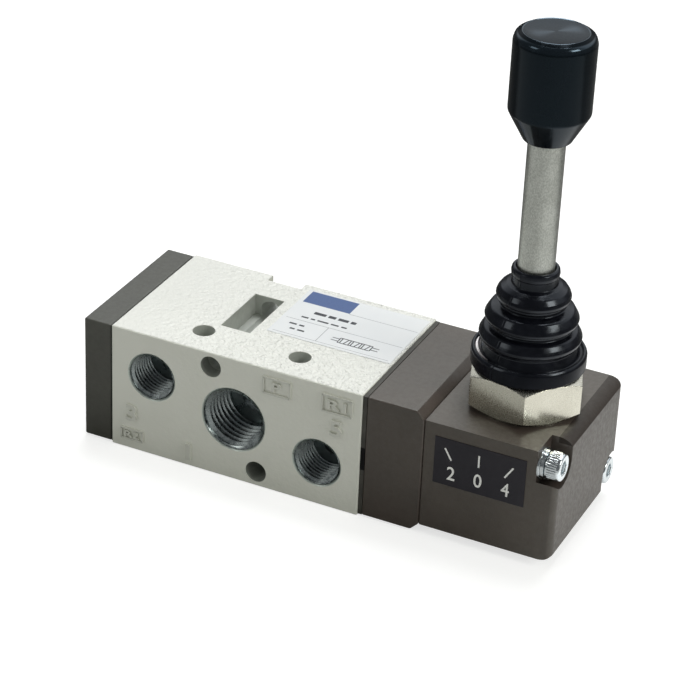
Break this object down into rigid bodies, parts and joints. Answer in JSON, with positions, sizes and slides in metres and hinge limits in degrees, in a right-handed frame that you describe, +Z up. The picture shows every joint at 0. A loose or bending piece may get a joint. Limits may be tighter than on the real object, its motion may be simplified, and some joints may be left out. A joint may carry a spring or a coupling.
{
  "type": "hand lever air valve",
  "caption": "Hand lever spool valve for compressed air: ported die cast body, lever housing with hex gland nut, rubber bellows and knobbed lever.",
  "frame": {"origin": "middle of the footprint, on the plane that the valve body stands on", "axes": "+X along the spool towards the lever, +Y from the face with three ports to the face with two ports, +Z up along the lever"},
  "size_m": [0.1006, 0.0342, 0.1006],
  "materials": {
    "body_paint": "satin white coat over die casting",
    "cover_paint": "satin dark brown coat over die casting",
    "gasket": "matt sheet rubber",
    "zinc": "bright zinc plate",
    "seal_rubber": "moulded nitrile rubber",
    "brass": "turned",
    "bright_steel": "ground and polished",
    "spool_metal": "turned and ground",
    "steel": "satin turned steel",
    "nickel": "satin nickel plate",
    "boot_rubber": "semi gloss moulded rubber",
    "knob_plastic": "polished phenolic",
    "dark_label": "printed film",
    "pale_label": "printed foil"
  },
  "bodies": {
    "valve": {"valve_body": "body_paint", "end_cover": "cover_paint", "cover_gasket": "gasket", "cover_screws": "zinc", "adapter_gasket": "gasket", "adapter_block": "cover_paint", "adapter_screws": "zinc", "rod_seal": "seal_rubber", "detent_cage": "brass", "detent_balls": "bright_steel", "detent_ring": "seal_rubber", "lever_housing": "cover_paint", "housing_screws": "zinc", "flat_washers": "zinc", "spring_washers": "zinc", "pivot_seat": "brass", "gland_nut": "nickel", "boot": "boot_rubber", "position_label": "dark_label", "rating_label": "pale_label"},
    "lever": {"lever_ball": "steel", "pivot_pin": "bright_steel", "lever_rod": "steel", "knob": "knob_plastic", "knob_insert": "brass"},
    "spool": {"spool": "spool_metal", "spool_seals": "seal_rubber", "spool_yoke": "steel", "yoke_pin": "steel"}
  },
  "joints": [
    {"name": "lever_tilt", "type": "hinge", "parent": "valve", "child": "lever", "pos_m": [0.0365, 0, 0.024], "axis": [0, 1, 0], "range_deg": [-15, 15], "deforming": ["boot"]},
    {"name": "spool_slide", "type": "slide", "parent": "valve", "child": "spool", "axis": [1, 0, 0], "range_m": [-0.0029, 0.0029]}
  ],
  "couplings": [
    {"joint": "spool_slide", "follows": "lever_tilt", "m_per_rad": -0.0105}
  ]
}
